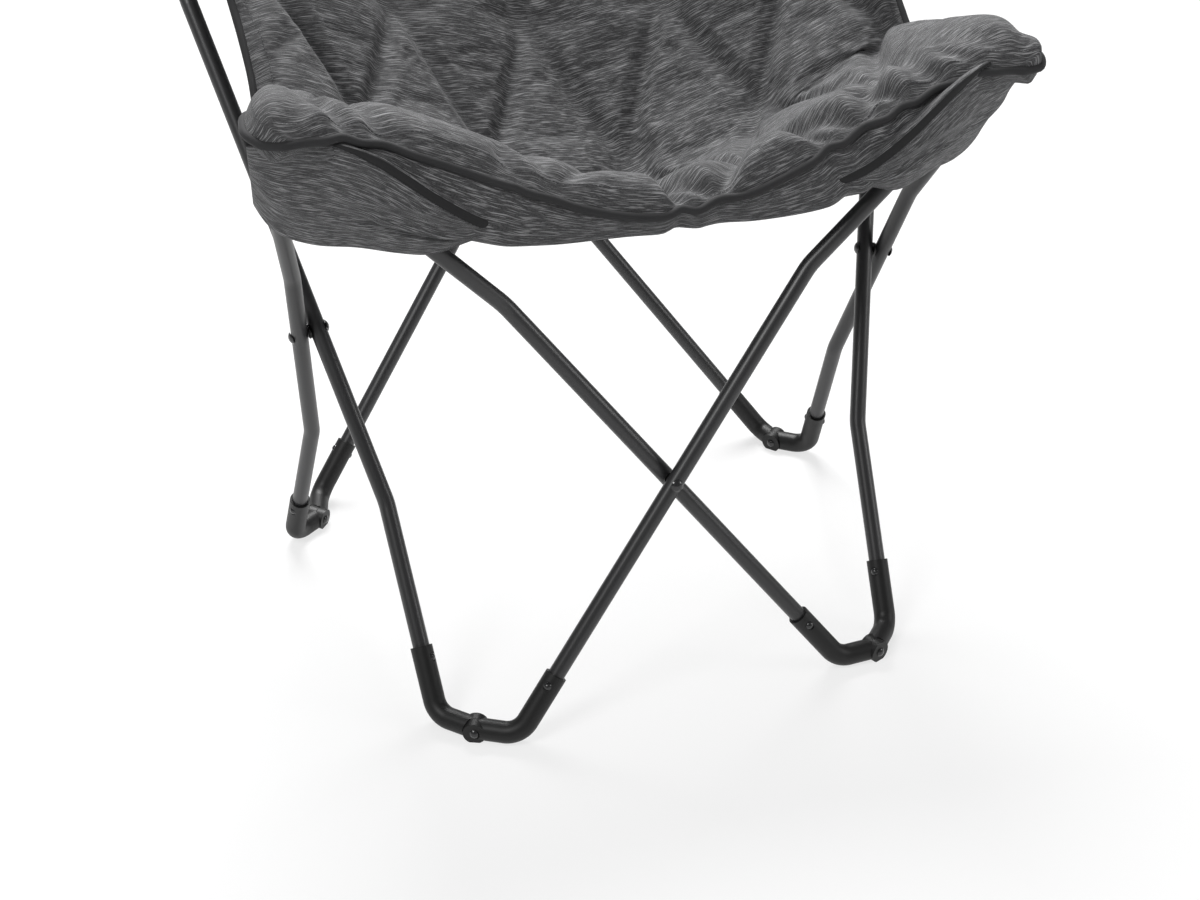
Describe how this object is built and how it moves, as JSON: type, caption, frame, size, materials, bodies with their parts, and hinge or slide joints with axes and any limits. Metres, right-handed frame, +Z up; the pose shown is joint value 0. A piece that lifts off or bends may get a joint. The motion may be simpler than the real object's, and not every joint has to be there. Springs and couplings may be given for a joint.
{
  "type": "folding butterfly chair",
  "caption": "Folding butterfly chair: crossed bent steel tubes hinged at moulded foot elbows carry a padded, quilted sling seat by corner pockets.",
  "frame": {"origin": "on the floor, at the middle of the chair's width and depth", "axes": "+Z up, the front of the seat faces -Y, +X is to the right as seen from the front"},
  "size_m": [0.886, 0.8028, 0.9544],
  "materials": {
    "tube_coat": "satin",
    "elbow_plastic": "satin",
    "rivet_head": "gloss",
    "spacer_plastic": "matte",
    "seat_fabric": "matte",
    "edge_binding": "matte"
  },
  "bodies": {
    "seat": {"seat_pad": "seat_fabric", "seat_piping": "edge_binding"},
    "back_rest": {"back_pad": "seat_fabric", "back_piping": "edge_binding"},
    "front_pivot": {"front_pivot_rivet": "rivet_head", "front_pivot_spacer": "spacer_plastic"},
    "front_leg_left": {"front_tube_left": "tube_coat", "front_elbow_left": "elbow_plastic", "front_elbow_rivet_left": "rivet_head", "front_end_cap_left": "spacer_plastic", "front_foot_pin_left": "rivet_head"},
    "side_leg_left": {"side_tube_left": "tube_coat", "side_elbow_left": "elbow_plastic", "side_elbow_rivet_left": "rivet_head", "side_end_cap_left": "spacer_plastic", "side_pivot_rivet_left": "rivet_head", "side_pivot_spacer_left": "spacer_plastic"},
    "arm_leg_left": {"arm_tube_left": "tube_coat", "arm_elbow_left": "elbow_plastic", "arm_elbow_rivet_left": "rivet_head", "arm_end_cap_left": "spacer_plastic", "back_foot_pin_left": "rivet_head"},
    "back_leg_left": {"back_tube_left": "tube_coat", "back_elbow_left": "elbow_plastic", "back_elbow_rivet_left": "rivet_head", "back_end_cap_left": "spacer_plastic", "back_pivot_rivet_left": "rivet_head", "back_pivot_spacer": "spacer_plastic"},
    "front_pocket_left": {"front_pocket_left": "seat_fabric", "front_pocket_binding_left": "edge_binding"},
    "back_pocket_left": {"back_pocket_left": "seat_fabric", "back_pocket_binding_left": "edge_binding"},
    "front_leg_right": {"front_tube_right": "tube_coat", "front_elbow_right": "elbow_plastic", "front_elbow_rivet_right": "rivet_head", "front_end_cap_right": "spacer_plastic", "front_foot_pin_right": "rivet_head"},
    "side_leg_right": {"side_tube_right": "tube_coat", "side_elbow_right": "elbow_plastic", "side_elbow_rivet_right": "rivet_head", "side_end_cap_right": "spacer_plastic", "side_pivot_rivet_right": "rivet_head", "side_pivot_spacer_right": "spacer_plastic"},
    "arm_leg_right": {"arm_tube_right": "tube_coat", "arm_elbow_right": "elbow_plastic", "arm_elbow_rivet_right": "rivet_head", "arm_end_cap_right": "spacer_plastic", "back_foot_pin_right": "rivet_head"},
    "back_leg_right": {"back_tube_right": "tube_coat", "back_elbow_right": "elbow_plastic", "back_elbow_rivet_right": "rivet_head", "back_end_cap_right": "spacer_plastic", "back_pivot_rivet_right": "rivet_head"},
    "front_pocket_right": {"front_pocket_right": "seat_fabric", "front_pocket_binding_right": "edge_binding"},
    "back_pocket_right": {"back_pocket_right": "seat_fabric", "back_pocket_binding_right": "edge_binding"}
  },
  "joints": [
    {"name": "front_crossing_shift", "type": "slide", "parent": "seat", "child": "front_pivot", "axis": [0, -0.6756, 0.7373], "range_m": [0, 0.10535]},
    {"name": "fold", "type": "hinge", "parent": "front_pivot", "child": "front_leg_left", "pos_m": [0, -0.3257, 0.2638], "axis": [0, -0.9775, 0.2111], "range_deg": [0, 25.8], "deforming": ["seat_pad", "seat_piping", "back_pad", "back_piping", "front_pocket_left", "front_pocket_right", "front_pocket_binding_left", "front_pocket_binding_right", "back_pocket_left", "back_pocket_right", "back_pocket_binding_left", "back_pocket_binding_right"]},
    {"name": "front_foot_left", "type": "hinge", "parent": "front_leg_left", "child": "side_leg_left", "pos_m": [-0.2406, -0.3655, 0.012], "axis": [0.4099, 0.9118, 0.023], "range_deg": [0, 35.65]},
    {"name": "side_crossing_left", "type": "hinge", "parent": "side_leg_left", "child": "arm_leg_left", "pos_m": [-0.3443, -0.0833, 0.3845], "axis": [-0.9764, -0.1349, -0.1688], "range_deg": [0, 35.85]},
    {"name": "back_foot_left", "type": "hinge", "parent": "arm_leg_left", "child": "back_leg_left", "pos_m": [-0.3161, 0.1245, 0.012], "axis": [0.7819, -0.6129, -0.114], "range_deg": [0, 28.15]},
    {"name": "fold_right", "type": "hinge", "parent": "front_pivot", "child": "front_leg_right", "pos_m": [0, -0.3257, 0.2638], "axis": [0, 0.9775, -0.2111], "range_deg": [0, 25.85]},
    {"name": "front_foot_right", "type": "hinge", "parent": "front_leg_right", "child": "side_leg_right", "pos_m": [0.2406, -0.3655, 0.012], "axis": [0.4099, -0.9118, -0.023], "range_deg": [0, 35.65]},
    {"name": "side_crossing_right", "type": "hinge", "parent": "side_leg_right", "child": "arm_leg_right", "pos_m": [0.3443, -0.0833, 0.3845], "axis": [-0.9764, 0.1349, 0.1688], "range_deg": [0, 35.85]},
    {"name": "back_foot_right", "type": "hinge", "parent": "arm_leg_right", "child": "back_leg_right", "pos_m": [0.3161, 0.1245, 0.012], "axis": [0.7819, 0.6129, 0.114], "range_deg": [0, 28.15]},
    {"name": "crease", "type": "hinge", "parent": "seat", "child": "back_rest", "pos_m": [0, -0.084, 0.476], "axis": [1, 0, 0], "range_deg": [0, 34.05]},
    {"name": "front_pocket_gather_left", "type": "slide", "parent": "seat", "child": "front_pocket_left", "axis": [0.7576, -0.268, 0.5951], "range_m": [0, 0.24023]},
    {"name": "back_pocket_gather_left", "type": "slide", "parent": "back_rest", "child": "back_pocket_left", "axis": [0.9981, -0.0603, 0.012], "range_m": [0, 0.16547]},
    {"name": "front_pocket_gather_right", "type": "slide", "parent": "seat", "child": "front_pocket_right", "axis": [-0.7576, -0.268, 0.5951], "range_m": [0, 0.24023]},
    {"name": "back_pocket_gather_right", "type": "slide", "parent": "back_rest", "child": "back_pocket_right", "axis": [-0.9981, -0.0603, 0.012], "range_m": [0, 0.16547]}
  ],
  "couplings": [
    {"joint": "front_crossing_shift", "follows": "fold", "m_per_rad": 0.23354},
    {"joint": "front_foot_left", "follows": "fold", "ratio": 1.3799},
    {"joint": "side_crossing_left", "follows": "fold", "ratio": 1.3877},
    {"joint": "back_foot_left", "follows": "fold", "ratio": 1.0894},
    {"joint": "fold_right", "follows": "fold", "ratio": 1},
    {"joint": "front_foot_right", "follows": "fold", "ratio": 1.3799},
    {"joint": "side_crossing_right", "follows": "fold", "ratio": 1.3877},
    {"joint": "back_foot_right", "follows": "fold", "ratio": 1.0894},
    {"joint": "crease", "follows": "fold", "ratio": 1.3179},
    {"joint": "front_pocket_gather_left", "follows": "fold", "m_per_rad": 0.5331},
    {"joint": "back_pocket_gather_left", "follows": "fold", "m_per_rad": 0.36705},
    {"joint": "front_pocket_gather_right", "follows": "fold", "m_per_rad": 0.5331},
    {"joint": "back_pocket_gather_right", "follows": "fold", "m_per_rad": 0.36705}
  ]
}
